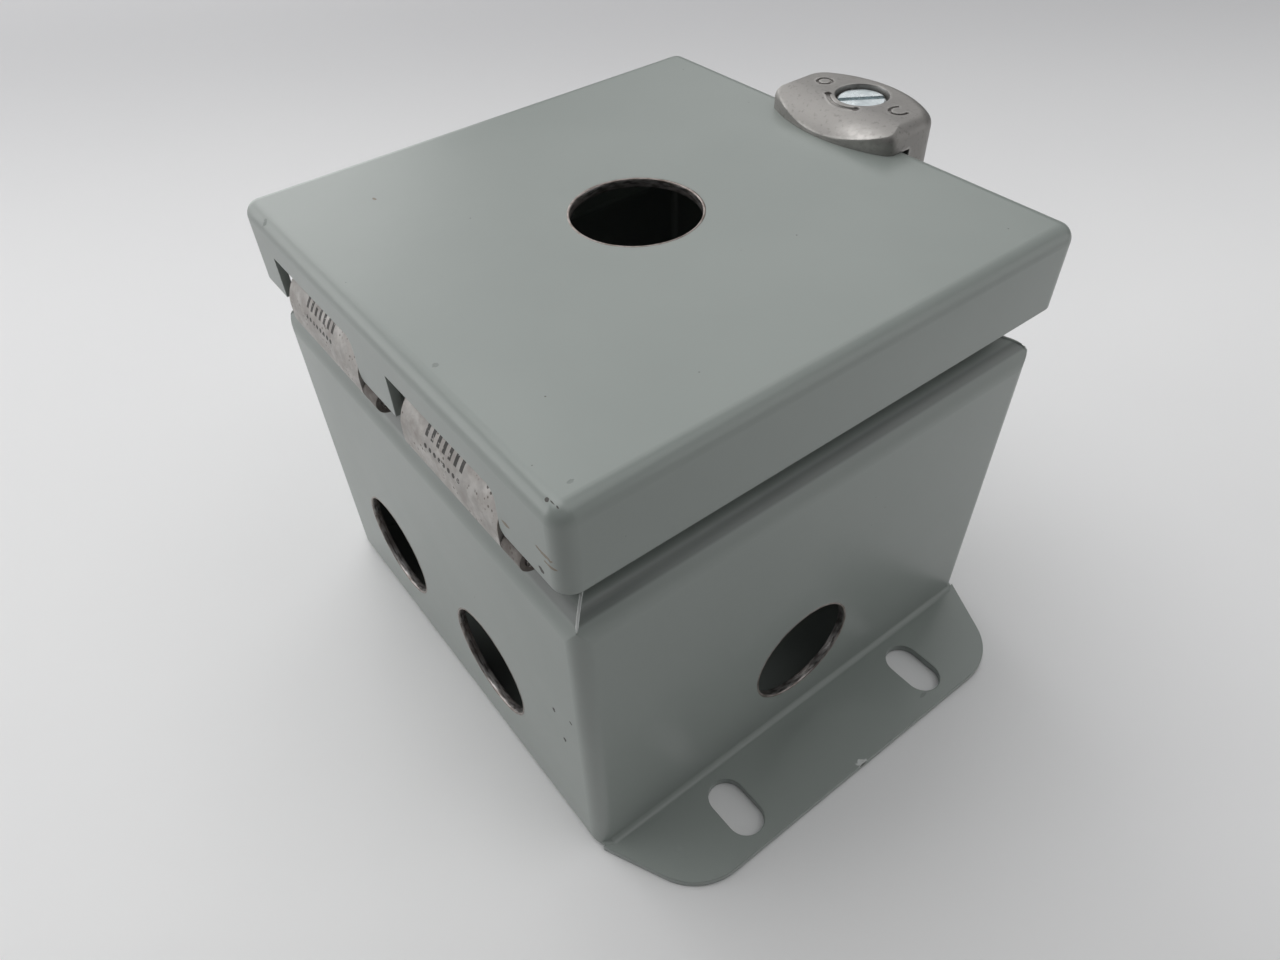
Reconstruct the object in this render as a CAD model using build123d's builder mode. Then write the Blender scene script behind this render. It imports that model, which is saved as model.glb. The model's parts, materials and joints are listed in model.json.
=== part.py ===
"""Sheet-steel junction box with a hinged cover and a quarter-turn latch. Millimetres.

+Z leaves the wall that the box is screwed to. The origin is the centre of the four mounting slots,
on the mounting plane. The hinges are on the -Y side, the latch is on the +Y side, and the two
mounting flanges point along X.
"""

import math
import os

from build123d import *

os.makedirs("parts", exist_ok=True)

# ---- driving dimensions -------------------------------------------------------------------------
sheet = 1.6  # thickness of all painted sheet
body_w = 101.6  # square body, outside
body_corner_r = 3.0  # upright bends of the body
shoulder_z = 71.0  # top of the flat shoulder that runs round the opening
shoulder_r = 6.0  # outside bend from wall to shoulder
foot_r = 2.5  # outside bend between the back and the two walls without flanges
collar_w = 83.6  # upstanding collar round the opening, outside
collar_corner_r = 3.0
cover_x, cover_y = 102.4, 103.4  # cover, outside
cover_z = 93.3  # top of the closed cover
lip_z = 78.1  # lower edge of the cover's lip
cover_bend_r = 2.8
cover_corner_r = 3.0
entry_r = 11.6  # round entries, for a 1/2 in fitting or a 22 mm operator

pattern_x, pattern_y = 120.65, 50.8  # mounting slots, centre to centre
slot_length, slot_width = 12.5, 7.4
flange_x, flange_y = 69.1, 41.2  # outer corners of the flanges, before rounding
flange_root = 50.2  # half width of each flange where it leaves the body
flange_corner_r = 12.5

hinge_y, hinge_z = -49.8, 75.2  # axis of both hinge pins
knuckle_r = 2.2
pin_r = 1.2
running_gap = 0.05  # radial play of a knuckle on its pin and of the spindle in its bore
hinge_centres = {"left": -24.1, "right": 19.8}
window_w = 31.3  # cut-outs in the cover's lip
window_top = 86.3
strip_w = 28.8
strip_t = 1.0
strip_shift = 0.9  # the hinge plates stand toward +X in their windows
strip_corner_r = 2.2
cover_knuckle_w = 4.8
knuckle_gap = 0.3
leaf_top = 88.0  # upper end of the leaf that carries each cover knuckle

latch_y = 55.0  # spindle axis, at x = 0
housing_top = 97.7
housing_foot = 77.0
housing_half_w = 15.3
toe_y, outer_y = 42.8, 63.6  # inner and outer edge of the housing on its centre line
spindle_r = 2.3
head_r, head_top = 4.8, 97.0
pawl_z, pawl_t, pawl_reach = 73.0, 2.0, 10.5

body_half = body_w / 2
lip_y = cover_y / 2
inside_top = cover_z - sheet  # underside of the closed cover
gasket_t = 3.6
seal_gap = 0.2
collar_z = inside_top - gasket_t - seal_gap
collar_half = collar_w / 2
strip_x = {side: centre + strip_shift for side, centre in hinge_centres.items()}


def write(part, name):
    """Label a finished piece and write it as its own STEP file."""
    part.label = name
    export_step(part, f"parts/{name}.step")


def blunt_block(width, foot, top, corner_r, edge_r, bend_r):
    """A square block on the Z axis: rounded upright corners, rounded and mitred top edges, and a
    bend along the foot of its two Y sides."""
    with BuildPart() as block:
        with BuildSketch(Plane.XY.offset(foot)):
            RectangleRounded(width, width, corner_r)
        extrude(amount=top - foot)
        for side, foot_edge_r in ((Plane.XZ, 0), (Plane.YZ, bend_r)):
            with BuildSketch(side) as section:
                with Locations((0, (foot + top) / 2)):
                    Rectangle(width, top - foot)
                fillet(section.vertices().group_by(Axis.Y)[-1], edge_r)
                if foot_edge_r:
                    fillet(section.vertices().group_by(Axis.Y)[0], foot_edge_r)
            extrude(amount=width, both=True, mode=Mode.INTERSECT)
    return block.part


def turned(profile_plane, radius, length):
    """A plain round rod or drill that starts on a plane and leaves along its normal."""
    with BuildPart() as rod:
        with BuildSketch(profile_plane):
            Circle(radius)
        extrude(amount=length)
    return rod.part


def ring(origin, outer_r, inner_r, height):
    """A flat washer or sleeve that stands on a point, its axis upright."""
    with BuildPart() as washer:
        with BuildSketch(Plane(origin)):
            Circle(outer_r)
            Circle(inner_r, mode=Mode.SUBTRACT)
        extrude(amount=height)
    return washer.part


def hex_nut(origin, across_flats, bore_r, height):
    """A hexagon nut that stands on a point, its axis upright."""
    with BuildPart() as nut:
        with BuildSketch(Plane(origin)):
            RegularPolygon(across_flats / 2, 6, major_radius=False)
            Circle(bore_r, mode=Mode.SUBTRACT)
        extrude(amount=height)
        chamfer(nut.faces().sort_by(Axis.Z)[-1].outer_wire().edges(), height / 8)
    return nut.part


# ---- body: four walls and a rounded shoulder round the opening ------------------------------------
outside = blunt_block(body_w, 0, shoulder_z, body_corner_r, shoulder_r, foot_r)
hollow_w, hollow_top = body_w - 2 * sheet, shoulder_z - sheet
hollow_corner_r, hollow_bend_r = body_corner_r - sheet, foot_r - sheet
hollow = blunt_block(
    hollow_w, sheet, hollow_top, hollow_corner_r, shoulder_r - sheet, hollow_bend_r
)
back_half = body_half - foot_r  # the back is flat between the two foot bends
rivet_r, rivet_head_r, rivet_head_t = 1.5, 2.6, 0.9
hinge_rivet_z, hinge_rivet_pitch = 79.5, 15.0
keeper_rivet_z, keeper_rivet_pitch = 82.0, 8.0
front_entries = ((-21.5, 23.6), (16.6, 23.6))  # x and z of the two entries below the hinges
side_entry = (-0.8, 20.8)  # y and z of the entry above the +X flange

opening_w = collar_w - 2 * sheet
opening_corner_r = collar_corner_r - sheet

with BuildPart() as body_shell:
    add(outside)
    add(hollow, mode=Mode.SUBTRACT)
    with BuildSketch():
        Rectangle(2 * body_w, 2 * back_half)
    extrude(amount=sheet, mode=Mode.SUBTRACT)
    with BuildSketch(Plane.XY.offset(shoulder_z)):
        RectangleRounded(opening_w, opening_w, opening_corner_r)
    extrude(amount=-2 * sheet, mode=Mode.SUBTRACT)
    with BuildSketch(Plane.XZ.offset(body_half)):
        with Locations(*front_entries):
            Circle(entry_r)
    extrude(amount=-2 * sheet, mode=Mode.SUBTRACT)
    with BuildSketch(Plane.YZ.offset(body_half)):
        with Locations(side_entry):
            Circle(entry_r)
    extrude(amount=-2 * sheet, mode=Mode.SUBTRACT)
write(body_shell.part, "body_shell")

# ---- collar: a welded frame that stands on the shoulder, round the opening ------------------------
with BuildPart() as collar:
    with BuildSketch(Plane.XY.offset(shoulder_z)):
        RectangleRounded(collar_w, collar_w, collar_corner_r)
        RectangleRounded(opening_w, opening_w, opening_corner_r, mode=Mode.SUBTRACT)
    extrude(amount=collar_z - shoulder_z)
    with BuildSketch(Plane.XZ.offset(collar_half)):
        for x in strip_x.values():
            with Locations((x, hinge_rivet_z)), GridLocations(hinge_rivet_pitch, 0, 2, 1):
                Circle(rivet_r)
    extrude(amount=-2 * sheet, mode=Mode.SUBTRACT)
    with BuildSketch(Plane.XZ.offset(-collar_half)):
        with Locations((0, keeper_rivet_z)), GridLocations(keeper_rivet_pitch, 0, 2, 1):
            Circle(rivet_r)
    extrude(amount=2 * sheet, mode=Mode.SUBTRACT)
write(collar.part, "collar")

# ---- back plate: closes the body and sticks out as two slotted flanges ----------------------------
with BuildPart() as back_plate:
    with BuildSketch() as outline:
        with BuildLine():
            Polyline(
                (body_half, back_half),
                (body_half, flange_root),
                (flange_x, flange_y),
                (flange_x, -flange_y),
                (body_half, -flange_root),
                (body_half, -back_half),
                (-body_half, -back_half),
                (-body_half, -flange_root),
                (-flange_x, -flange_y),
                (-flange_x, flange_y),
                (-body_half, flange_root),
                (-body_half, back_half),
                close=True,
            )
        make_face()
        by_x = outline.vertices().group_by(Axis.X)
        fillet(by_x[0] + by_x[-1], flange_corner_r)
        with GridLocations(pattern_x, pattern_y, 2, 2):
            SlotOverall(slot_length, slot_width, mode=Mode.SUBTRACT)
    extrude(amount=sheet)
write(back_plate.part, "back_plate")

weld_leg = 1.2  # hollow fillet welds where the two flanges leave the walls
with BuildPart() as flange_welds:
    with BuildSketch(Plane.XZ):
        with BuildLine():
            Line((body_half, sheet + weld_leg), (body_half, sheet))
            Line((body_half, sheet), (body_half + weld_leg, sheet))
            CenterArc((body_half + weld_leg, sheet + weld_leg), weld_leg, 180, 90)
        make_face()
    extrude(amount=back_half, both=True)
    mirror(about=Plane.YZ)
write(flange_welds.part, "flange_welds")

# ---- hinges: a formed plate and a pin on the body, a short knuckle on the cover -------------------
arch_r = 8.1  # outside radius of the plate where it arches over into the trough
arch_z = 77.5
tab_r = 2.1
tab_foot = 75.0
plate_face_y = hinge_y - knuckle_r
arch_y = plate_face_y + arch_r
tab_bend_z = arch_z + arch_r - tab_r


def hinge_plate(centre):
    """The plate: a knuckle round the pin, an arch through the cover's window, a tab on the collar."""
    with BuildPart() as plate:
        with BuildSketch(Plane.YZ.offset(centre - strip_w / 2)):
            with BuildLine():
                Line((plate_face_y, hinge_z), (plate_face_y, arch_z))
                CenterArc((arch_y, arch_z), arch_r, 90, 90)
                CenterArc((arch_y, tab_bend_z), tab_r, 0, 90)
                Line((-collar_half, tab_bend_z), (-collar_half, tab_foot))
                Line((-collar_half, tab_foot), (-collar_half - strip_t, tab_foot))
                Line((-collar_half - strip_t, tab_foot), (-collar_half - strip_t, tab_bend_z))
                CenterArc((arch_y, tab_bend_z), tab_r - strip_t, 0, 90)
                CenterArc((arch_y, arch_z), arch_r - strip_t, 90, 90)
                Line((plate_face_y + strip_t, arch_z), (plate_face_y + strip_t, hinge_z))
                Line((plate_face_y + strip_t, hinge_z), (plate_face_y, hinge_z))
            make_face()
            with Locations((hinge_y, hinge_z)):
                Circle(knuckle_r)
                Circle(pin_r, mode=Mode.SUBTRACT)
        extrude(amount=strip_w)
        with BuildSketch(Plane.XZ.offset(collar_half)):
            with Locations((centre, hinge_rivet_z)), GridLocations(hinge_rivet_pitch, 0, 2, 1):
                Circle(rivet_r)
        extrude(amount=2 * strip_t, mode=Mode.SUBTRACT)
        with BuildSketch(Plane.XZ.offset(collar_half)) as face:
            with Locations((centre, hinge_z - knuckle_r)):
                Rectangle(strip_w, window_top, align=(Align.CENTER, Align.MIN))
            fillet(face.vertices().group_by(Axis.Y)[0].sort_by(Axis.X)[0], strip_corner_r)
        extrude(amount=body_half, both=True, mode=Mode.INTERSECT)
    return plate.part


def cover_knuckle(start):
    """The cover's half of a hinge: an eye on the pin and a leaf up the inside of the lip."""
    leaf_y = -lip_y + sheet + strip_t / 2
    leaf_foot = hinge_z + pin_r + strip_t / 2
    with BuildPart() as knuckle:
        with BuildSketch(Plane.YZ.offset(start)):
            with Locations((leaf_y, (leaf_foot + leaf_top) / 2)):
                Rectangle(strip_t, leaf_top - leaf_foot)
            with Locations((hinge_y, hinge_z)):
                Circle(knuckle_r)
                Circle(pin_r + running_gap, mode=Mode.SUBTRACT)
        extrude(amount=cover_knuckle_w)
    return knuckle.part


for side, centre in strip_x.items():
    knuckle_start = centre + strip_w / 2 + knuckle_gap
    pin_start = centre - strip_w / 2 + strip_corner_r
    pin_end = knuckle_start + cover_knuckle_w + knuckle_gap
    write(hinge_plate(centre), f"hinge_plate_{side}")
    pin_plane = Plane((pin_start, hinge_y, hinge_z), x_dir=(0, 1, 0), z_dir=(1, 0, 0))
    write(turned(pin_plane, pin_r, pin_end - pin_start), f"hinge_pin_{side}")
    write(cover_knuckle(knuckle_start), f"cover_knuckle_{side}")


def rivets(spots, grip):
    """Rivets that leave the opening through the collar. Each spot is (x, z, side of the box)."""
    with BuildPart() as group:
        for x, z, side in spots:
            inner = Plane((x, side * (collar_half - sheet), z), x_dir=(1, 0, 0), z_dir=(0, side, 0))
            with BuildSketch(inner):
                Circle(rivet_r)
            extrude(amount=grip)
            for plane, length in ((inner, -rivet_head_t), (inner.offset(grip), rivet_head_t)):
                with BuildSketch(plane):
                    Circle(rivet_head_r)
                extrude(amount=length)
    return group.part


hinge_spots = [
    (x + shift, hinge_rivet_z, -1)
    for x in strip_x.values()
    for shift in (-hinge_rivet_pitch / 2, hinge_rivet_pitch / 2)
]
write(rivets(hinge_spots, sheet + strip_t), "hinge_rivets")

# ---- cover: folded sheet with a lip, two hinge windows and one round entry ------------------------
housing_screw_x, housing_screw_y, housing_screw_r = 10.0, 47.2, 1.5
window_corner_r, window_foot_r = 2.0, 1.4
near = 0.1  # how far an edge may be from where it is looked for

with BuildPart() as cover_shell:
    with BuildSketch(Plane.XY.offset(lip_z)):
        RectangleRounded(cover_x, cover_y, cover_corner_r)
    extrude(amount=cover_z - lip_z)
    fillet(cover_shell.faces().sort_by(Axis.Z)[-1].edges(), cover_bend_r)
    offset(
        cover_shell.part,
        amount=-sheet,
        openings=cover_shell.faces().sort_by(Axis.Z)[0],
        mode=Mode.REPLACE,
    )
    with BuildSketch(Plane.XY.offset(cover_z)):
        Circle(entry_r)
    extrude(amount=-2 * sheet, mode=Mode.SUBTRACT)
    with BuildSketch(Plane.XY.offset(cover_z)):
        with Locations((0, housing_screw_y)), GridLocations(2 * housing_screw_x, 0, 2, 1):
            Circle(housing_screw_r)
    extrude(amount=-2 * sheet, mode=Mode.SUBTRACT)
    for centre in hinge_centres.values():
        right = centre + window_w / 2
        with BuildSketch(Plane.XZ.offset(lip_y)) as window:
            with Locations((centre, (window_top + lip_z - sheet) / 2)):
                Rectangle(window_w, window_top - lip_z + sheet)
            fillet(window.vertices().group_by(Axis.Y)[-1].sort_by(Axis.X)[-1], window_corner_r)
        extrude(amount=-2 * sheet, mode=Mode.SUBTRACT)
        foot_corner = (
            cover_shell.edges()
            .filter_by(Axis.Y)
            .filter_by_position(Axis.Z, lip_z - near, lip_z + near)
            .filter_by_position(Axis.X, right - near, right + near)
        )
        fillet(foot_corner, window_foot_r)
write(cover_shell.part, "cover_shell")

gasket_w = 88.8
gasket_wall = 6.8
with BuildPart() as cover_gasket:
    with BuildSketch(Plane.XY.offset(inside_top - gasket_t)):
        RectangleRounded(gasket_w, gasket_w, collar_corner_r)
        gasket_opening = gasket_w - 2 * gasket_wall
        RectangleRounded(gasket_opening, gasket_opening, collar_corner_r, mode=Mode.SUBTRACT)
    extrude(amount=gasket_t)
write(cover_gasket.part, "cover_gasket")

# ---- latch: a cast housing on the cover, with a spindle that carries a pawl -----------------------
housing_side_y = (46.6, 57.9)  # where the flat ends of the housing start and stop
toe_corner_r, outer_corner_r, housing_edge_r = 2.2, 5.5, 2.4
crown_y, toe_top = 51.0, 94.0  # the top is flat to crown_y, then curves down to the toe's edge
housing_wall = 2.2
lip_gap = 0.1
boss_r, boss_foot = 4.0, 80.0
head_floor = 94.4  # seat of the screw head inside the housing
head_play = 0.4
housing_screw_grip = 2.3  # depth of thread in the toe
mark_r, mark_w, mark_depth = 6.4, 0.7, 0.5
mark_start, mark_sweep = 221.0, 81.0
sign_x, sign_y, sign_r, sign_w = 9.4, -0.4, 1.7, 0.6  # open ring and closed ring beside the screw
open_start, open_sweep = 130.0, 250.0
near_y, far_y = housing_side_y
housing_bore_r = spindle_r + running_gap

with BuildSketch() as housing_outline:
    with BuildLine():
        ThreePointArc((-housing_half_w, near_y), (0, toe_y), (housing_half_w, near_y))
        Line((housing_half_w, near_y), (housing_half_w, far_y))
        ThreePointArc((housing_half_w, far_y), (0, outer_y), (-housing_half_w, far_y))
        Line((-housing_half_w, far_y), (-housing_half_w, near_y))
    make_face()
    fillet(housing_outline.vertices().group_by(Axis.Y)[0], toe_corner_r)
    fillet(housing_outline.vertices().group_by(Axis.Y)[-1], outer_corner_r)

with BuildSketch() as housing_skirt:
    add(housing_outline.sketch)
    offset(housing_outline.sketch, amount=-housing_wall, mode=Mode.SUBTRACT)
    with Locations((0, lip_y + lip_gap)):
        Rectangle(body_w, body_w, align=(Align.CENTER, Align.MAX), mode=Mode.SUBTRACT)

with BuildPart() as latch_housing:
    with BuildSketch(Plane.XY.offset(cover_z)):
        add(housing_outline.sketch)
    extrude(amount=housing_top - cover_z)
    fillet(latch_housing.faces().sort_by(Axis.Z)[-1].edges(), housing_edge_r)
    with BuildSketch(Plane.YZ):
        with BuildLine():
            drop, run = housing_top - toe_top, crown_y - toe_y
            crown_r = (drop**2 + run**2) / (2 * drop)
            toe_angle = 90 + math.degrees(math.asin(run / crown_r))
            crown = CenterArc((crown_y, housing_top - crown_r), crown_r, 90, toe_angle - 90)
            Polyline(crown @ 1, (toe_y, cover_z), (outer_y, cover_z), (outer_y, housing_top), crown @ 0)
        make_face()
    extrude(amount=housing_half_w, both=True, mode=Mode.INTERSECT)
    with BuildSketch(Plane.XY.offset(housing_foot)):
        add(housing_skirt.sketch)
    extrude(amount=cover_z - housing_foot)
    with BuildSketch(Plane.XY.offset(boss_foot)):
        with Locations((0, latch_y)):
            Circle(boss_r)
        with Locations((0, lip_y + lip_gap)):
            Rectangle(body_w, body_w, align=(Align.CENTER, Align.MAX), mode=Mode.SUBTRACT)
    extrude(amount=cover_z - boss_foot)
    with BuildSketch(Plane.XY.offset(housing_top)):
        with Locations((0, latch_y)):
            Circle(head_r + head_play)
    extrude(amount=head_floor - housing_top, mode=Mode.SUBTRACT)
    with BuildSketch(Plane.XY.offset(boss_foot)):
        with Locations((0, latch_y)):
            Circle(housing_bore_r)
    extrude(amount=housing_top - boss_foot, mode=Mode.SUBTRACT)
    with BuildSketch(Plane.XY.offset(cover_z)):
        with Locations((0, housing_screw_y)), GridLocations(2 * housing_screw_x, 0, 2, 1):
            Circle(housing_screw_r)
    extrude(amount=housing_screw_grip, mode=Mode.SUBTRACT)
    # engraved turn mark: an arc on the cover's side of the screw, with a dot at each end
    with BuildSketch(Plane((0, latch_y, housing_top))):
        with BuildLine():
            CenterArc((0, 0), mark_r, mark_start, mark_sweep)
        trace(line_width=mark_w)
        with PolarLocations(mark_r, 2, mark_start, mark_sweep, endpoint=True):
            Circle(mark_w)
        with BuildLine():
            CenterArc((sign_x, sign_y), sign_r, open_start, open_sweep)
        trace(line_width=sign_w)
        with Locations((-sign_x, sign_y)):
            Circle(sign_r)
            Circle(sign_r - sign_w, mode=Mode.SUBTRACT)
    extrude(amount=-mark_depth, mode=Mode.SUBTRACT)
write(latch_housing.part, "latch_housing")

slot_w, slot_depth, slot_turn = 1.4, 1.1, 54.5
seat_gap = 0.1
head_seat = head_floor + seat_gap  # the head floats just clear of its seat
head_edge_r = 0.6
nut_foot, nut_across_flats, nut_h = 69.8, 7.0, 2.4
lock_washer_r, lock_washer_t = 3.6, 0.8

with BuildPart() as latch_screw:
    with BuildSketch(Plane((0, latch_y, nut_foot))):
        Circle(spindle_r)
    extrude(amount=head_seat - nut_foot)
    with BuildSketch(Plane((0, latch_y, head_seat))):
        Circle(head_r)
    extrude(amount=head_top - head_seat)
    fillet(latch_screw.faces().sort_by(Axis.Z)[-1].edges(), head_edge_r)
    with BuildSketch(Plane((0, latch_y, head_top)).rotated((0, 0, slot_turn))):
        Rectangle(3 * head_r, slot_w)
    extrude(amount=-slot_depth, mode=Mode.SUBTRACT)
write(latch_screw.part, "latch_screw")

pawl_w, pawl_eye_r, pawl_tip_r = 6.0, 3.6, 1.5
with BuildPart() as latch_pawl:
    with BuildSketch(Plane((0, latch_y, pawl_z))) as pawl_outline:
        Rectangle(pawl_reach, pawl_w, align=(Align.MAX, Align.CENTER))
        fillet(pawl_outline.vertices().group_by(Axis.X)[0], pawl_tip_r)
        Circle(pawl_eye_r)
        Circle(spindle_r, mode=Mode.SUBTRACT)
    extrude(amount=pawl_t)
write(latch_pawl.part, "latch_pawl")

spacer_r, spacer_gap = 3.0, 0.2
spacer_foot = pawl_z + pawl_t
write(
    ring((0, latch_y, spacer_foot), spacer_r, spindle_r, boss_foot - spacer_gap - spacer_foot),
    "latch_spacer",
)
washer_foot = (0, latch_y, pawl_z - lock_washer_t)
write(ring(washer_foot, lock_washer_r, spindle_r, lock_washer_t), "latch_lock_washer")
write(hex_nut((0, latch_y, nut_foot), nut_across_flats, spindle_r, nut_h), "latch_nut")

housing_screw_head_r, housing_screw_head_t = 2.0, 1.5
with BuildPart() as housing_screws:
    with BuildSketch(Plane.XY.offset(inside_top)):
        with Locations((0, housing_screw_y)), GridLocations(2 * housing_screw_x, 0, 2, 1):
            Circle(housing_screw_r)
    extrude(amount=sheet + housing_screw_grip)
    with BuildSketch(Plane.XY.offset(inside_top)):
        with Locations((0, housing_screw_y)), GridLocations(2 * housing_screw_x, 0, 2, 1):
            Circle(housing_screw_head_r)
    extrude(amount=-housing_screw_head_t)
write(housing_screws.part, "housing_screws")

# ---- keeper: an angle on the collar that the pawl turns under --------------------------------------
keeper_w, keeper_t, keeper_reach = 14.0, 1.2, 7.2
keeper_foot, keeper_top = 75.4, 86.0
with BuildPart() as latch_keeper:
    with BuildSketch(Plane.YZ.offset(-keeper_w / 2)):
        with Locations((collar_half, keeper_foot)):
            Rectangle(keeper_t, keeper_top - keeper_foot, align=(Align.MIN, Align.MIN))
            Rectangle(keeper_reach, keeper_t, align=(Align.MIN, Align.MIN))
    extrude(amount=keeper_w)
    with BuildSketch(Plane.XZ.offset(-collar_half)):
        with Locations((0, keeper_rivet_z)), GridLocations(keeper_rivet_pitch, 0, 2, 1):
            Circle(rivet_r)
    extrude(amount=-2 * keeper_t, mode=Mode.SUBTRACT)
write(latch_keeper.part, "latch_keeper")

keeper_spots = [(x, keeper_rivet_z, 1) for x in (-keeper_rivet_pitch / 2, keeper_rivet_pitch / 2)]
write(rivets(keeper_spots, sheet + keeper_t), "keeper_rivets")

# ---- earth stud on the back plate -------------------------------------------------------------------
stud_x, stud_y = 30.0, 26.0
stud_r, stud_top = 2.5, 17.0
flat_washer_r, flat_washer_t = 5.5, 1.0
earth_washer_r, earth_washer_t = 4.6, 1.2
earth_nut_across_flats, earth_nut_h = 8.0, 4.0
stack_z = sheet
write(turned(Plane((stud_x, stud_y, sheet)), stud_r, stud_top - sheet), "earth_stud")
write(ring((stud_x, stud_y, stack_z), flat_washer_r, stud_r, flat_washer_t), "earth_flat_washer")
stack_z += flat_washer_t
write(ring((stud_x, stud_y, stack_z), earth_washer_r, stud_r, earth_washer_t), "earth_lock_washer")
stack_z += earth_washer_t
write(hex_nut((stud_x, stud_y, stack_z), earth_nut_across_flats, stud_r, earth_nut_h), "earth_nut")
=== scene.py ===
"""Looks of the junction box: procedural materials, small surface pieces, light and camera."""

import json
import math

import bmesh
import bpy
from mathutils import Matrix, Vector


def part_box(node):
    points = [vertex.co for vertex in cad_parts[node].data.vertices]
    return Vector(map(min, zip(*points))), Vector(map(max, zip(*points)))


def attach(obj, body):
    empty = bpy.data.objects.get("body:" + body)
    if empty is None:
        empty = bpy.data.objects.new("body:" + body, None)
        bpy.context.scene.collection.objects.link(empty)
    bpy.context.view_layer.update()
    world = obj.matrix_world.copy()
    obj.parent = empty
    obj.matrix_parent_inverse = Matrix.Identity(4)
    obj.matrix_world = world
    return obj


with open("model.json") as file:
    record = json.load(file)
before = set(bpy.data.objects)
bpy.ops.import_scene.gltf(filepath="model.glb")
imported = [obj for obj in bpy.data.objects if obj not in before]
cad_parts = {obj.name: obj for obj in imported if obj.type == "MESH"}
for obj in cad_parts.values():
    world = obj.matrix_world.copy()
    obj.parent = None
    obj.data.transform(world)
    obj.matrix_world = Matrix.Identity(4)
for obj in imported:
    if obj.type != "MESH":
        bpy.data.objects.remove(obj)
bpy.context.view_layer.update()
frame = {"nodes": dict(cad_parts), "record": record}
record = frame["record"]
nodes = frame["nodes"]
MM = 0.001

joints = {joint["name"]: joint for joint in record["behaviour"]["joints"]}
spindle_at = Vector(joints["latch_turn"]["pos_m"])


# ---- a short way to write node trees ---------------------------------------------------------------
def rgb(colour):
    return (*colour, 1.0) if isinstance(colour, tuple) and len(colour) == 3 else colour


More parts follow.
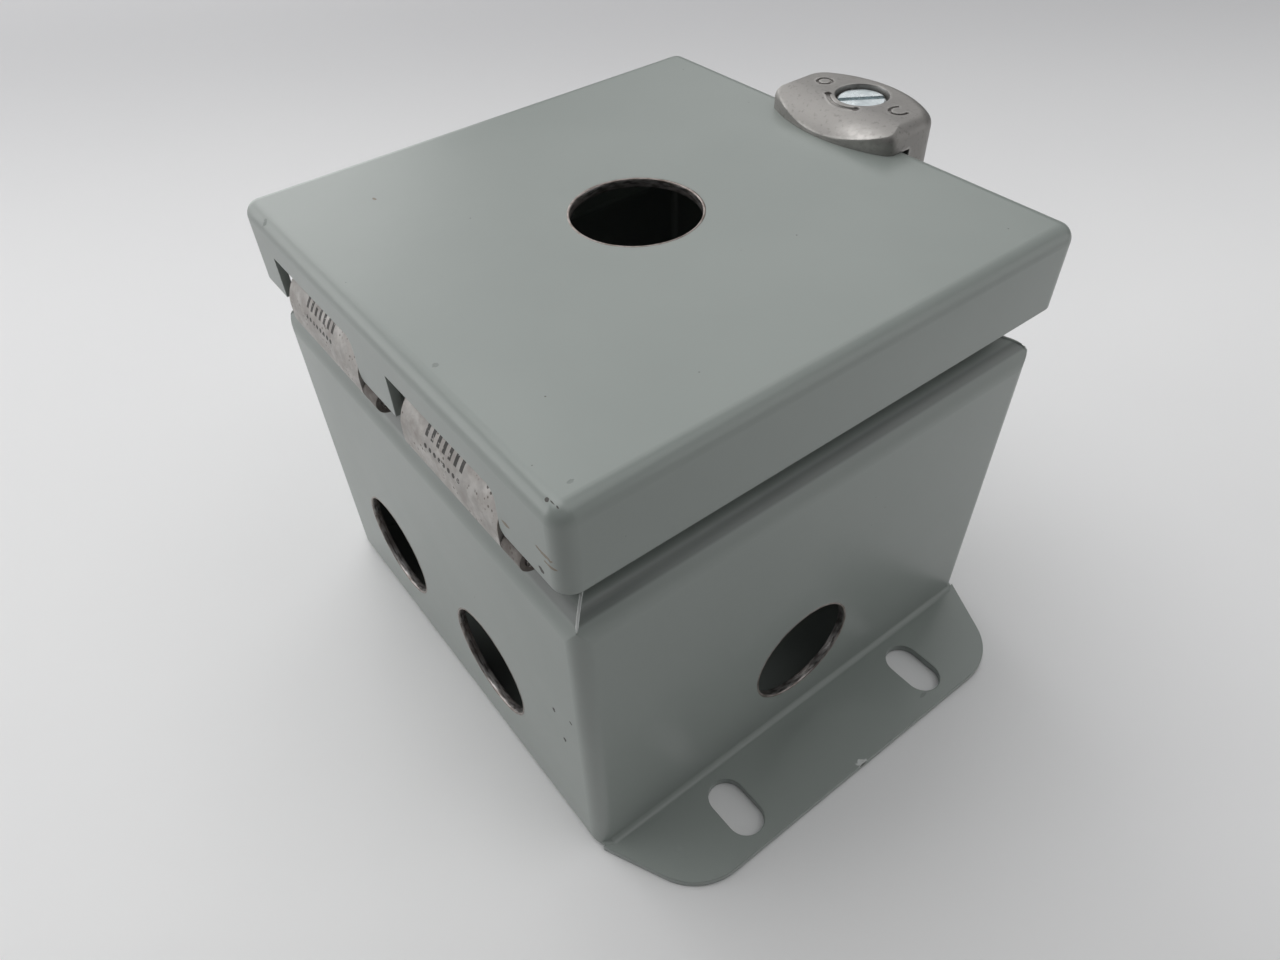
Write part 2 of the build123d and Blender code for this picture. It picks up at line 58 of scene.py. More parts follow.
class Tree:
    """A material under construction. Every method adds one node and returns its useful output."""

    def __init__(self, name):
        self.mat = bpy.data.materials.new(name)
        self.mat.use_nodes = True
        self.nodes = self.mat.node_tree.nodes
        self.links = self.mat.node_tree.links
        self.shader = self.nodes["Principled BSDF"]
        self.place = self.add("ShaderNodeTexCoord").outputs["Object"]

    def add(self, kind, **settings):
        node = self.nodes.new(kind)
        for key, value in settings.items():
            setattr(node, key, value)
        return node

    def feed(self, socket, value):
        if isinstance(value, bpy.types.NodeSocket):
            self.links.new(value, socket)
        elif value is not None:
            socket.default_value = value

    def math(self, operation, a, b=None, clamp=False):
        node = self.add("ShaderNodeMath", operation=operation, use_clamp=clamp)
        for socket, value in zip(node.inputs, (a, b)):
            self.feed(socket, value)
        return node.outputs[0]

    def vector(self, operation, a, b=None):
        node = self.add("ShaderNodeVectorMath", operation=operation)
        self.feed(node.inputs[0], a)
        self.feed(node.inputs[1], b)
        return node.outputs["Value" if operation in ("LENGTH", "DOT_PRODUCT", "DISTANCE") else "Vector"]

    def moved(self, origin=(0, 0, 0), stretch=(1, 1, 1)):
        return self.vector("MULTIPLY", self.vector("SUBTRACT", self.place, origin), stretch)

    def parts(self, place=None):
        node = self.add("ShaderNodeSeparateXYZ")
        self.feed(node.inputs[0], place or self.place)
        return node.outputs

    def joined(self, x, y, z):
        node = self.add("ShaderNodeCombineXYZ")
        for socket, value in zip(node.inputs, (x, y, z)):
            self.feed(socket, value)
        return node.outputs[0]

    def noise(self, scale, detail=2.0, roughness=0.5, place=None, distortion=0.0):
        node = self.add("ShaderNodeTexNoise")
        self.feed(node.inputs["Vector"], place or self.place)
        node.inputs["Scale"].default_value = scale
        node.inputs["Detail"].default_value = detail
        node.inputs["Roughness"].default_value = roughness
        node.inputs["Distortion"].default_value = distortion
        return node.outputs["Fac"]

    def cells(self, scale):
        node = self.add("ShaderNodeTexVoronoi", feature="F1")
        self.feed(node.inputs["Vector"], self.place)
        node.inputs["Scale"].default_value = scale
        return node.outputs["Distance"]

    def span(self, value, low, high, to_low=0.0, to_high=1.0):
        node = self.add("ShaderNodeMapRange", interpolation_type="SMOOTHSTEP")
        self.feed(node.inputs["Value"], value)
        for key, number in (("From Min", low), ("From Max", high), ("To Min", to_low), ("To Max", to_high)):
            self.feed(node.inputs[key], number)
        return node.outputs["Result"]

    def blend(self, amount, a, b):
        node = self.add("ShaderNodeMix", data_type="RGBA", clamp_factor=True)
        self.feed(node.inputs[0], amount)
        self.feed(node.inputs[6], rgb(a))
        self.feed(node.inputs[7], rgb(b))
        return node.outputs[2]

    def both(self, a, b):
        return self.math("MULTIPLY", a, b)

    def either(self, a, b):
        return self.math("MAXIMUM", a, b)

    def plus(self, a, b):
        return self.math("ADD", a, b)

    def inverse(self, a):
        return self.math("SUBTRACT", 1.0, a)

    def bump(self, height, depth, normal=None, strength=1.0):
        node = self.add("ShaderNodeBump")
        node.inputs["Strength"].default_value = strength
        node.inputs["Distance"].default_value = depth
        self.feed(node.inputs["Height"], height)
        self.feed(node.inputs["Normal"], normal)
        return node.outputs["Normal"]

    def soft_edges(self, radius):
        rounded = self.add("ShaderNodeBevel", samples=4)
        rounded.inputs["Radius"].default_value = radius
        return rounded.outputs[0]

    def edges(self, radius, low=0.985, high=0.90):
        """1 on the edges of the mesh within about radius, 0 on flat ground."""
        flat = self.add("ShaderNodeNewGeometry").outputs["Normal"]
        return self.span(self.vector("DOT_PRODUCT", self.soft_edges(radius), flat), low, high)

    def spot(self, centre, size, ragged=0.5):
        """1 inside an uneven blot. centre and size are in mm, size is the half width along X, Y, Z."""
        reach = self.moved(tuple(c * MM for c in centre), tuple(1 / (s * MM) for s in size))
        distance = self.vector("LENGTH", reach)
        distance = self.plus(distance, self.span(self.noise(1100, 3), 0.25, 0.75, -ragged, ragged))
        return self.span(distance, 1.25, 0.95)

    def finish(self, colour, roughness, normal, metallic=0.0):
        self.feed(self.shader.inputs["Base Color"], rgb(colour))
        self.feed(self.shader.inputs["Roughness"], roughness)
        self.feed(self.shader.inputs["Normal"], normal)
        self.feed(self.shader.inputs["Metallic"], metallic)
        return self.mat


# ---- colours (linear) ------------------------------------------------------------------------------
PAINT = (0.262, 0.292, 0.275)
PAINT_PALE = (0.280, 0.310, 0.292)
PAINT_THIN = (0.232, 0.258, 0.243)
# pale tone of a bare chip on the flange, and of the painted highlight on the near mitre weld
PALE_CHIP_AND_HIGHLIGHT = (0.62, 0.64, 0.63)
PAINTED_SHADE_INSIDE = (0.10, 0.112, 0.106)
PRIMER = (0.060, 0.055, 0.050)
CHIP_TAN = (0.24, 0.205, 0.16)
STEEL = (0.46, 0.43, 0.41)
STEEL_DARK = (0.085, 0.072, 0.066)
STEEL_BROWN = (0.20, 0.145, 0.115)
ZINC_DULL = (0.49, 0.475, 0.455)
ZINC_MID = (0.38, 0.365, 0.35)
ZINC_STAIN = (0.09, 0.078, 0.068)
CAST = (0.275, 0.265, 0.254)
CAST_DARK = (0.125, 0.118, 0.111)
CAST_BRIGHT = (0.60, 0.58, 0.56)
ZINC_BRIGHT = (0.78, 0.84, 0.86)
RUBBER = (0.018, 0.018, 0.019)
BRASS = (0.62, 0.46, 0.20)
INK = (0.022, 0.020, 0.019)

# The space inside the body, in mm: half width, top and floor, each with a soft limit. Its paint is darkened
# there as painted shade, so that the round entries look dark. That is a choice of tone, not a known coat.
INSIDE_HALF_W = (49.7, 49.3)
INSIDE_TOP = (70.3, 69.9)
INSIDE_FLOOR = (1.2, 1.5)


def paint(name, spots, rounded=True):
    """Even semi-gloss enamel, darkened inside the body as painted shade. spots are (centre mm, half size mm,
    shade) of its chips and rubs, and of any painted highlight such as the one on the seam.
    rounded softens the edges of the mesh; welds are left as they are."""
    t = Tree(name)
    colour = t.blend(t.span(t.noise(22, 3), 0.35, 0.68), PAINT, PAINT_PALE)
    x, y, z = t.parts(t.vector("ABSOLUTE", t.place))
    # painted shade: darken the paint inside the body unevenly, with soft limits at the walls, at the top of
    # the inside space and above the floor
    inside = t.both(
        t.span(t.either(x, y), *(limit * MM for limit in INSIDE_HALF_W)),
        t.span(z, *(limit * MM for limit in INSIDE_TOP)),
    )
    inside = t.both(inside, t.span(z, *(limit * MM for limit in INSIDE_FLOOR)))
    uneven_inside_shade = t.span(t.noise(35, 3), 0.3, 0.7, 0.5, 0.7)
    colour = t.blend(t.both(inside, uneven_inside_shade), colour, PAINTED_SHADE_INSIDE)
    edge = t.edges(0.5 * MM) if rounded else 0.0
    colour = t.blend(t.both(edge, t.span(t.noise(160, 2), 0.4, 0.7, 0.05, 0.3)), colour, PAINT_THIN)
    nibs = t.both(t.span(t.cells(260), 0.050, 0.025), t.span(t.noise(90, 1), 0.60, 0.66))
    colour = t.blend(t.both(nibs, 0.7), colour, PRIMER)
    chips = t.both(edge, t.span(t.noise(520, 4, 0.65), 0.66, 0.70))
    chips = t.both(chips, t.span(t.noise(50, 1), 0.56, 0.62))
    colour = t.blend(chips, colour, PRIMER)
    marks = chips
    for centre, size, shade in spots:
        blot = t.spot(centre, size)
        colour = t.blend(blot, colour, shade)
        marks = t.either(marks, blot)
    normal = t.soft_edges(0.35 * MM) if rounded else None
    normal = t.bump(t.noise(420, 1.5), 0.05 * MM, normal, 0.30)
    normal = t.bump(t.noise(2400, 1), 0.01 * MM, normal, 0.30)
    normal = t.bump(t.inverse(t.either(marks, nibs)), 0.06 * MM, normal, 0.6)
    gloss = t.span(t.noise(40, 3), 0.3, 0.7, 0.285, 0.325)
    gloss = t.plus(gloss, t.both(t.either(marks, nibs), 0.3))
    t.shader.inputs["IOR"].default_value = 1.58
    return t.finish(colour, gloss, normal)


def dull_zinc(name, print_from=None, brown=0.45, stain_tint=STEEL_BROWN):
    """Zinc plate gone dull: cloudy grey, pepper specks, brown stains. print_from gives the boxes of
    plates that carry a worn printed strip of bars and dots."""
    t = Tree(name)
    cloud = t.noise(330, 5, 0.62)
    colour = t.blend(t.span(cloud, 0.36, 0.66), ZINC_MID, ZINC_DULL)
    colour = t.blend(t.span(t.noise(70, 3), 0.45, 0.7, 0.0, 0.4), colour, ZINC_MID)
    pepper = t.both(t.span(t.cells(1000), 0.30, 0.18), t.span(t.noise(330, 3, 0.6), 0.50, 0.58))
    colour = t.blend(t.both(pepper, 0.8), colour, ZINC_STAIN)
    stain = t.span(t.noise(150, 5, 0.65), 0.56, 0.70)
    edge = t.edges(0.4 * MM)
    stain = t.either(t.both(stain, 0.45), t.both(edge, t.span(t.noise(240, 3), 0.35, 0.6, 0.2, 0.7)))
    stain = t.either(stain, t.span(t.noise(420, 3), 0.1, 0.7, brown - 0.45, brown))
    colour = t.blend(stain, colour, stain_tint)
    if print_from:
        worn = t.span(t.noise(900, 4, 0.65), 0.36, 0.44)
        for low, high in print_from:
            # a row of equal bars with a row of dots below it, on the upper half of the plate's face
            middle = ((low.x + high.x) / 2, low.y, low.z)
            across, depth, height = t.parts(t.moved(middle, (1 / MM, 1 / MM, 1 / MM)))
            outer = t.span(depth, 3.6, 3.3)
            stripes = t.math("FRACT", t.math("MULTIPLY", across, 1 / 1.7))
            bar_height = t.both(t.span(height, 7.8, 8.0), t.span(height, 10.6, 10.4))
            bars = t.both(t.span(stripes, 0.50, 0.44), bar_height)
            pitch = t.math("SUBTRACT", t.math("FRACT", t.math("MULTIPLY", across, 1 / 1.4)), 0.5)
            level = t.math("MULTIPLY", t.math("SUBTRACT", height, 6.3), 1 / 1.4)
            dots = t.span(t.vector("LENGTH", t.joined(pitch, level, 0.0)), 0.34, 0.26)
            width = t.span(t.math("ABSOLUTE", t.plus(across, 1.5)), 6.0, 5.9)
            ink = t.both(t.both(t.either(bars, dots), width), t.both(outer, worn))
            colour = t.blend(t.both(ink, 0.9), colour, INK)
    normal = t.bump(t.noise(1700, 3), 0.03 * MM, t.soft_edges(0.2 * MM), 0.5)
    normal = t.bump(pepper, -0.03 * MM, normal, 0.6)
    gloss = t.plus(t.span(cloud, 0.3, 0.7, 0.56, 0.42), t.both(t.either(stain, pepper), 0.2))
    metal = t.math("SUBTRACT", 0.5, t.both(t.either(stain, pepper), 0.4))
    return t.finish(colour, gloss, normal, metal)


def cast_zinc(name, rub_highlight_at):
    """Tumbled die-cast zinc: a warm grey grain, bright where rubbing has worn it, most of all at the given
    spot, where the brightening is partly worn metal and partly a painted highlight.
    """
    t = Tree(name)
    cloud = t.noise(90, 4, 0.6)
    grain = t.noise(1300, 3, 0.6)
    colour = t.blend(t.span(cloud, 0.3, 0.7), CAST, (0.325, 0.314, 0.30))
    colour = t.blend(t.span(grain, 0.55, 0.70, 0.0, 0.35), colour, CAST_DARK)
    pits = t.both(t.span(t.cells(520), 0.16, 0.08), t.span(t.noise(300, 2), 0.55, 0.62))
    colour = t.blend(t.both(pits, 0.7), colour, CAST_DARK)
    edge = t.both(t.edges(1.0 * MM, 0.995, 0.93), t.span(t.noise(260, 3), 0.35, 0.65))
    colour = t.blend(t.both(edge, 0.7), colour, CAST_BRIGHT)
    stretch = (1 / (6 * MM), 1 / (3 * MM), 1 / (3 * MM))
    # a brighter patch at the given spot: partly metal worn by rubbing, partly a painted highlight
    reach = t.vector("LENGTH", t.moved(tuple(c * MM for c in rub_highlight_at), stretch))
    rub_and_highlight = t.both(t.span(reach, 1.3, 0.2), t.span(t.noise(900, 3), 0.35, 0.65, 0.5, 1.0))
    colour = t.blend(t.both(rub_and_highlight, 0.55), colour, CAST_BRIGHT)
    edge = t.either(edge, rub_and_highlight)
    normal = t.bump(grain, 0.06 * MM, t.soft_edges(0.3 * MM), 0.6)
    normal = t.bump(t.noise(260, 2), 0.10 * MM, normal, 0.35)
    normal = t.bump(pits, -0.06 * MM, normal, 0.8)
    gloss = t.math("SUBTRACT", t.span(cloud, 0.3, 0.7, 0.44, 0.54), t.both(edge, 0.14))
    return t.finish(colour, gloss, normal, 0.75)


def bright_zinc(name):
    """Fresh zinc plate with turning rings about the spindle and small handling dulls."""
    t = Tree(name)
    turns = t.math("MULTIPLY", t.vector("LENGTH", t.moved(spindle_at, (1, 1, 0))), 2 * math.pi / (0.25 * MM))
    cloud = t.noise(400, 4, 0.6)
    colour = t.blend(t.span(cloud, 0.35, 0.7), ZINC_BRIGHT, (0.60, 0.66, 0.68))
    dirt = t.both(t.edges(0.3 * MM), t.span(t.noise(700, 3), 0.45, 0.7))
    colour = t.blend(t.both(dirt, 0.6), colour, ZINC_STAIN)
    normal = t.bump(t.math("SINE", turns), 0.004 * MM, t.soft_edges(0.15 * MM), 0.5)
    normal = t.bump(t.noise(2200, 2), 0.01 * MM, normal, 0.5)
    return t.finish(colour, t.span(cloud, 0.3, 0.7, 0.24, 0.36), normal, 1.0)


def drawn_steel(name):
    """Drawn steel rod: fine lengthwise streaks, brown oxide in patches."""
    t = Tree(name)
    streaks = t.noise(1500, 3, 0.6, t.moved(stretch=(0.08, 1.0, 1.0)))
    colour = t.blend(t.span(streaks, 0.38, 0.66), STEEL_DARK, STEEL)
    rust = t.span(t.noise(210, 4, 0.6), 0.46, 0.62)
    colour = t.blend(t.both(rust, 0.7), colour, STEEL_BROWN)
    normal = t.bump(streaks, 0.03 * MM, t.soft_edges(0.1 * MM), 0.7)
    gloss = t.plus(t.span(streaks, 0.3, 0.7, 0.32, 0.46), t.both(rust, 0.15))
    return t.finish(colour, gloss, normal, t.math("SUBTRACT", 0.95, t.both(rust, 0.4)))


def punched_steel(name):
    """The punched edge of a round entry, whose own Z axis is the axis of the hole: a bright band
    where the punch sheared the sheet, a torn dark band behind it, scratches straight through."""
    t = Tree(name)
    x, y, depth = t.parts()
    angle = t.math("ARCTAN2", y, x)
    streaks = t.noise(5.0, 2, 0.5, t.joined(angle, t.both(depth, 400.0), 0.0))
    patches = t.noise(1.3, 3, 0.6, t.joined(angle, t.both(depth, 60.0), 2.0))
    torn = t.span(t.plus(depth, t.span(patches, 0.3, 0.7, -0.12 * MM, 0.12 * MM)), -0.8 * MM, -1.1 * MM)
    colour = t.blend(t.span(streaks, 0.36, 0.60), (0.22, 0.205, 0.198), (0.56, 0.54, 0.53))
    colour = t.blend(t.both(torn, 0.45), colour, STEEL_DARK)
    rust = t.span(patches, 0.50, 0.68, 0.0, 0.45)
    rust = t.either(rust, t.span(depth, -0.28 * MM, 0.0, 0.0, 0.55))
    colour = t.blend(rust, colour, STEEL_BROWN)
    normal = t.bump(streaks, 0.03 * MM, None, 0.3)
    normal = t.bump(t.noise(500, 2), 0.015 * MM, normal, 0.2)
    gloss = t.plus(t.span(streaks, 0.3, 0.7, 0.30, 0.40), t.both(t.either(rust, torn), 0.12))
    return t.finish(colour, gloss, normal, t.math("SUBTRACT", 0.95, t.both(rust, 0.35)))


def rubber(name):
    t = Tree(name)
    pores = t.span(t.cells(1800), 0.35, 0.1)
    colour = t.blend(t.both(pores, 0.6), RUBBER, (0.006, 0.006, 0.006))
    colour = t.blend(t.span(t.noise(130, 4), 0.5, 0.75, 0.0, 0.3), colour, (0.06, 0.06, 0.058))
    normal = t.bump(pores, -0.05 * MM, t.soft_edges(0.3 * MM), 0.7)
    return t.finish(colour, t.span(t.noise(300, 2), 0.3, 0.7, 0.72, 0.88), normal)


def brass(name):
    t = Tree(name)
    cloud = t.noise(330, 4, 0.6)
    colour = t.blend(t.span(cloud, 0.35, 0.7), BRASS, (0.40, 0.27, 0.11))
    normal = t.bump(t.noise(1900, 3), 0.02 * MM, t.soft_edges(0.2 * MM), 0.6)
    return t.finish(colour, t.span(cloud, 0.3, 0.7, 0.26, 0.42), normal, 1.0)


# Chips and rubs: centre, half size and shade, placed from the edges and corners they sit on.
cover_low, cover_high = (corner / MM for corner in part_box("cover_shell"))
body_low, body_high = (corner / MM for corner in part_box("body_shell"))
plate_low, plate_high = (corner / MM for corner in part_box("back_plate"))
housing_low, housing_high = (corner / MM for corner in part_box("latch_housing"))
right, front, top = cover_high.x, cover_low.y, cover_high.z
cover_spots = (
    ((right - 3.9, front + 1.5, top - 0.4), (0.26, 0.20, 1.2), PRIMER),
    ((right - 3.0, front + 1.7, top - 0.5), (0.40, 0.08, 1.2), PRIMER),
    ((right - 2.1, front + 1.8, top - 0.8), (0.28, 0.10, 1.2), PRIMER),
    ((right - 4.4, front + 5.4, top), (0.25, 0.5, 0.4), PAINT_THIN),
    ((right - 3.7, front, top - 9.3), (1.7, 0.6, 0.32), CHIP_TAN),
    ((right - 2.9, front, top - 10.6), (1.1, 0.6, 0.22), CHIP_TAN),
    ((right - 5.3, front, top - 13.5), (0.5, 0.6, 0.4), PRIMER),
    ((right - 13.8, front, top - 12.0), (1.0, 0.6, 0.35), CHIP_TAN),
    ((-34.2, -32.6, top), (0.5, 0.3, 0.4), CHIP_TAN),
    ((-41.0, front + 0.9, top - 1.0), (0.5, 0.5, 1.2), PAINT_THIN),
    ((15.6, front + 3.8, top), (0.45, 0.45, 0.4), PAINT_THIN),
)
wall = body_low.y
body_spots = (
    ((40.8, wall, 37.6), (0.42, 0.5, 0.6), PRIMER),
    ((43.1, wall, 30.9), (0.38, 0.5, 0.55), PRIMER),
    ((46.1, wall, 40.3), (0.32, 0.5, 0.32), PRIMER),
    ((body_low.x + 0.8, wall + 0.8, 2.5), (1.3, 1.3, 1.3), PRIMER),
    ((plate_high.x, 0.3, plate_high.z), (0.9, 1.0, 0.9), PALE_CHIP_AND_HIGHLIGHT),
    ((plate_high.x, 0.6, plate_high.z - 0.5), (0.6, 0.7, 0.45), PRIMER),
    ((plate_high.x - 8.7, plate_low.y + 11.0, plate_high.z), (1.2, 0.6, 0.4), PAINT_PALE),
    ((plate_high.x - 3.0, 22.0, plate_high.z), (0.3, 0.9, 0.4), PAINT_THIN),
)
# pale paint on the mitre weld at the near corner: a painted highlight along the ridge, with the paint rubbed
# pale there as well
seam_painted_highlight = ((body_high.x - 2, body_low.y + 2, 69), (4, 4, 4), PALE_CHIP_AND_HIGHLIGHT)
hinge_plates = [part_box(name) for name in ("hinge_plate_left", "hinge_plate_right")]
materials = {
    "body_paint": paint("body_paint", body_spots),
    "cover_paint": paint("cover_paint", cover_spots),
    "printed_zinc": dull_zinc("printed_zinc", hinge_plates, 0.2),
    "plated_steel": dull_zinc("plated_steel"),
    "stained_zinc": dull_zinc("stained_zinc", None, 0.95, (0.10, 0.082, 0.070)),
    "weld_paint": paint("weld_paint", (), False),
    "seam_paint": paint("seam_paint", (seam_painted_highlight,), False),
    "bare_steel": drawn_steel("bare_steel"),
    "punched_steel": punched_steel("punched_steel"),
    "cast_zinc": cast_zinc("cast_zinc", (9.5, housing_low.y + 2.2, housing_high.z - 3.0)),
    "bright_zinc": bright_zinc("bright_zinc"),
    "brass_nut": brass("brass_nut"),
    "gasket_rubber": rubber("gasket_rubber"),
}

for sub in record["subparts"]:
    node, look = sub["node"], sub["material_slot"]
    if look == "grey_paint":
        look = "cover_paint" if node == "cover_shell" else "body_paint"
    if node == "flange_welds":
        look = "weld_paint"
    if node.startswith("hinge_plate"):
        look = "printed_zinc"
    if node.startswith("cover_knuckle"):
        look = "stained_zinc"
    mesh = nodes[node].data
    mesh.materials.clear()
    mesh.materials.append(materials[look])


# ---- small surface pieces --------------------------------------------------------------------------
def piece(name, mesh, body, look, matrix=None):
    """Turn a bmesh in metres into a smooth-shaded piece that rides on a body."""
    bmesh.ops.recalc_face_normals(mesh, faces=mesh.faces)
    data = bpy.data.meshes.new(name)
    mesh.to_mesh(data)
    mesh.free()
    for polygon in data.polygons:
        polygon.use_smooth = True
    data.materials.append(materials[look])
    obj = bpy.data.objects.new(name, data)
    bpy.context.collection.objects.link(obj)
    if matrix is not None:
        obj.matrix_world = matrix
    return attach(obj, body)


def loft(rings, closed):
    """Skin through rings of points in mm. closed joins the last ring to the first, otherwise the ends
    are capped."""
    mesh = bmesh.new()
    rows = [[mesh.verts.new(Vector(point) * MM) for point in ring] for ring in rings]
    count = len(rows[0])
    pairs = list(zip(rows, rows[1:] + rows[:1])) if closed else list(zip(rows, rows[1:]))
    for a, b in pairs:
        for at in range(count):
            after = (at + 1) % count
            mesh.faces.new((a[at], a[after], b[after], b[at]))
    if not closed:
        mesh.faces.new(rows[0])
        mesh.faces.new(rows[-1])
    return mesh


def lathe(profile, steps=96):
    """Turn a closed profile of (radius, height) points in mm round the Z axis."""
    turns = [2 * math.pi * at / steps for at in range(steps)]
    mesh = loft([[(r * math.cos(a), r * math.sin(a), z) for r, z in profile] for a in turns], True)
    bmesh.ops.remove_doubles(mesh, verts=mesh.verts, dist=1e-8)
    return mesh


def bead(path, radius):
    """A thin round bead along points in mm, tapered at both ends."""
    rings = []
    for at, point in enumerate(path):
        here = Vector(point)
        along = (Vector(path[min(at + 1, len(path) - 1)]) - Vector(path[max(at - 1, 0)])).normalized()
        across = along.orthogonal().normalized()
        up = along.cross(across)
        size = radius * (0.35 if at in (0, len(path) - 1) else 1.0)
        angles = [2 * math.pi * step / 10 for step in range(10)]
        rings.append([here + size * (across * math.cos(a) + up * math.sin(a)) for a in angles])
    return loft(rings, False)


def screw_thread(centre, root_r, crest_r, pitch, low, high):
    """A helical ridge round an upright rod, from height low to high."""
    steps = 28
    count = int((high - low) / pitch * steps)
    rings = []
    for at in range(count + 1):
        angle = 2 * math.pi * at / steps
        z = low + pitch * at / steps
        crest = root_r + (crest_r - root_r) * min(1.0, at / steps, (count - at) / steps)
        way = Vector((math.cos(angle), math.sin(angle), 0))
        spots = ((root_r - 0.15, -0.42), (crest, -0.06), (crest, 0.06), (root_r - 0.15, 0.42))
        rings.append([Vector(centre) + way * r + Vector((0, 0, z + pitch * lift)) for r, lift in spots])
    return loft(rings, False)


def standing(at, axis):
    """A matrix that puts local Z along axis at a point in metres."""
    return Matrix.Translation(Vector(at)) @ Vector(axis).to_track_quat("Z", "Y").to_matrix().to_4x4()


# the punched rims of the four round entries; a mount's place is half way through the sheet
half_sheet = 0.8
for mount in record["mounts"]:
    if mount["kind"] != "bore":
        continue
    hole_r = mount["dims"]["r_mm"]
    outer = Vector(mount["pos_m"]) + Vector(mount["axis"]) * half_sheet * MM
    rim = [
        (hole_r + 0.32, 0.015),
        (hole_r + 0.10, 0.04),
        (hole_r + 0.01, 0.03),
        (hole_r - 0.07, 0.0),
        (hole_r - 0.13, -0.12),
        (hole_r - 0.15, -0.5),
        (hole_r - 0.14, -0.9),
        (hole_r - 0.10, -1.4),
        (hole_r - 0.06, -1.62),
        (hole_r + 0.04, -1.66),
        (hole_r + 0.12, -1.58),
    ]
    body = "cover" if mount["name"] == "entry_cover" else "enclosure"
    piece(mount["name"].replace("entry", "rim"), lathe(rim), body, "punched_steel",
          standing(outer, mount["axis"]))

# the welded mitres at the four corners of the shoulder
shoulder_top, bend_r = body_high.z, 6.0
for index, (sx, sy) in enumerate(((1, -1), (1, 1), (-1, 1), (-1, -1))):
    path = []
    for step in range(9):
        tilt = math.radians(33 + 57 * step / 8)
        out = body_high.x - bend_r + bend_r * math.cos(tilt)
        path.append((sx * out, sy * out, shoulder_top - bend_r + bend_r * math.sin(tilt)))
    path.append((sx * 42.6, sy * 42.6, shoulder_top))
    piece(f"mitre_weld_{index}", bead(path, 0.24), "enclosure", "seam_paint")

# the flange welds carried round the foot of each corner of the body, dying out
plate_top = plate_high.z
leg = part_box("flange_welds")[1].x / MM - body_high.x
upright_r = 3.0
for index, (sx, sy) in enumerate(((1, -1), (1, 1), (-1, 1), (-1, -1))):
    rings = []
    for step in range(9):
        turn = math.radians(44 * step / 8)
        size = leg * (1 - 0.85 * step / 8)
        ring = [(-0.1, -0.1), (size, -0.1)]
        for part in range(7):
            bend = math.radians(90 * part / 6)
            ring.append((size * (1 - math.sin(bend)), size * (1 - math.cos(bend))))
        ring.append((-0.1, size))
        middle_x, middle_y = body_high.x - upright_r, body_high.y - upright_r
        rings.append([
            (sx * (middle_x + (upright_r + out) * math.cos(turn)),
             sy * (middle_y + (upright_r + out) * math.sin(turn)), plate_top + lift)
            for out, lift in ring
        ])
    piece(f"flange_weld_end_{index}", loft(rings, False), "enclosure", "weld_paint")

# the rolled thread of the earth stud, above its nut
stud_low, stud_high = (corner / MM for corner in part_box("earth_stud"))
nut_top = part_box("earth_nut")[1].z / MM
stud_axis = ((stud_low.x + stud_high.x) / 2, (stud_low.y + stud_high.y) / 2, 0)
stud_r = (stud_high.x - stud_low.x) / 2
ridge = screw_thread(stud_axis, stud_r - 0.02, stud_r + 0.14, 0.8, nut_top + 0.2, stud_high.z - 0.5)
piece("earth_stud_thread", ridge, "enclosure", "bright_zinc")


def islands(node):
    """The boxes, in mm, of the separate solids in a CAD node, from low X to high X."""
    mesh = bmesh.new()
    mesh.from_mesh(nodes[node].data)
    bmesh.ops.remove_doubles(mesh, verts=mesh.verts, dist=1e-6)
    left, boxes = set(mesh.verts), []
    while left:
        front_row, seen = [next(iter(left))], set()
        while front_row:
            vert = front_row.pop()
            if vert in seen:
                continue
            seen.add(vert)
            front_row.extend(edge.other_vert(vert) for edge in vert.link_edges)
        left -= seen
        spots = [vert.co / MM for vert in seen]
        boxes.append(tuple(Vector(pick(spot[i] for spot in spots) for i in range(3)) for pick in (min, max)))
    mesh.free()
    return sorted(boxes, key=lambda found: found[0].x)


# the domes that the rivet set leaves on both heads of every rivet
for node in ("hinge_rivets", "keeper_rivets"):
    for index, (low, high) in enumerate(islands(node)):
        head_r = (high.x - low.x) / 2
        dome = [
            (0, 0.5),
            (0.4 * head_r, 0.43),
            (0.7 * head_r, 0.24),
            (0.92 * head_r, 0.02),
            (0.9 * head_r, -0.1),
            (0, -0.1),
        ]
        for face, y, way in (("near", low.y, -1), ("far", high.y, 1)):
            at = Vector(((low.x + high.x) / 2, y, (low.z + high.z) / 2)) * MM
            piece(f"{node}_dome_{face}_{index}", lathe(dome, 40), "enclosure", "plated_steel",
                  standing(at, (0, way, 0)))

# ---- floor, light and camera -----------------------------------------------------------------------
floor_mesh = bmesh.new()
bmesh.ops.create_grid(floor_mesh, x_segments=1, y_segments=1, size=3.0)
floor_data = bpy.data.meshes.new("floor")
floor_mesh.to_mesh(floor_data)
floor_mesh.free()
floor = bpy.data.objects.new("floor", floor_data)
floor.location.z = -0.2 * MM
bpy.context.collection.objects.link(floor)
t = Tree("floor")
paper_and_shade = t.blend(t.span(t.noise(4, 3), 0.3, 0.7), (0.845, 0.845, 0.85), (0.875, 0.875, 0.875))
# The floor's colour is graded along the camera's line of sight, fixed to the floor, as painted shade: darker
# well behind the box, and a little darker in front of it.
away = t.vector("DOT_PRODUCT", t.place, (-0.82, 0.57, 0.0))
paper_and_shade = t.blend(t.span(away, 0.06, 0.42), paper_and_shade, (0.53, 0.53, 0.54))
paper_and_shade = t.blend(t.span(away, -0.07, -0.15), paper_and_shade, (0.69, 0.685, 0.68))
floor_data.materials.append(t.finish(paper_and_shade, 0.7, t.bump(t.noise(30, 3), 1.0 * MM, None, 0.2)))

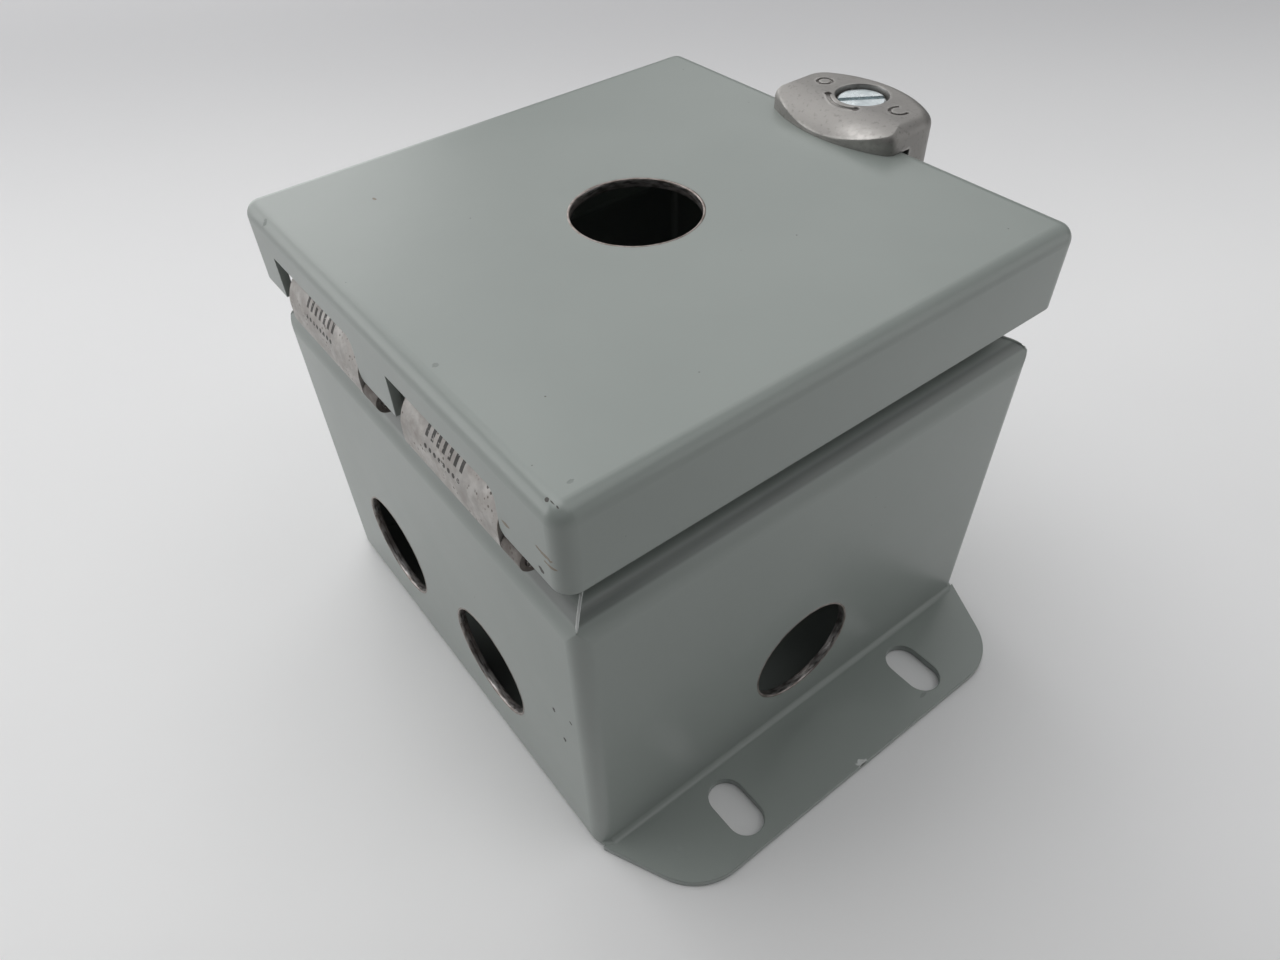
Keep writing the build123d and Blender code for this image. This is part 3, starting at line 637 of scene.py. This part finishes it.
# Large soft boxes 2 m away: azimuth from -Y toward +X, elevation, power in watts.
LIGHTS = {
    "near_room": (35, 30, 1.2),
    "front_low": (325, 14, 2.3),
    "far_corner_low": (132, 12, 6.2),
    "left_low": (268, 14, 11.4),
    "left_front_low": (312, 14, 10.6),
    "back_window": (225, 42, 7.0),
    "left_window": (270, 42, 4.3),
    "ceiling_right": (115, 64, 5.8),
    "ceiling_left": (300, 70, 13.8),
    "far_window": (172, 42, 2.8),
}
for name, (azimuth, elevation, power) in LIGHTS.items():
    lamp = bpy.data.lights.new(name, "AREA")
    lamp.shape = "DISK"
    lamp.size = 1.6
    lamp.energy = power
    lamp_holder = bpy.data.objects.new(name, lamp)
    turn, lift = math.radians(azimuth), math.radians(elevation)
    way = Vector((math.sin(turn) * math.cos(lift), -math.cos(turn) * math.cos(lift), math.sin(lift)))
    lamp_holder.location = way * 2.0 + Vector((0, 0, 0.04))
    lamp_holder.rotation_euler = way.to_track_quat("Z", "Y").to_euler()
    lamp_holder.visible_camera = False
    bpy.context.collection.objects.link(lamp_holder)

CAMERA_AT = (115.2, -86.7, 171.8)
CAMERA_LOOK = (-0.5810, 0.3970, -0.7106)
CAMERA_ROLL = -3.51

world = bpy.data.worlds.new("room")
world.use_nodes = True
world.node_tree.nodes["Background"].inputs["Color"].default_value = (0.95, 0.97, 1.0, 1.0)
world.node_tree.nodes["Background"].inputs["Strength"].default_value = 0.05
bpy.context.scene.world = world
bpy.context.scene.view_settings.view_transform = "Standard"

camera_data = bpy.data.cameras.new("camera")
camera_data.sensor_width = 36.0
camera_data.lens = 25.80
camera_data.shift_x = 0.0199
camera_data.shift_y = 0.0058
camera_data.clip_start = 0.01
camera = bpy.data.objects.new("camera", camera_data)
look = Vector(CAMERA_LOOK).normalized()
side = look.cross(Vector((0, 0, 1))).normalized()
up = side.cross(look)
roll = math.radians(CAMERA_ROLL)
right_way = side * math.cos(roll) + up * math.sin(roll)
up_way = up * math.cos(roll) - side * math.sin(roll)
camera.matrix_world = Matrix.Translation(Vector(CAMERA_AT) * MM) @ Matrix(
    (right_way, up_way, -look)
).transposed().to_4x4()
bpy.context.collection.objects.link(camera)
bpy.context.scene.camera = camera
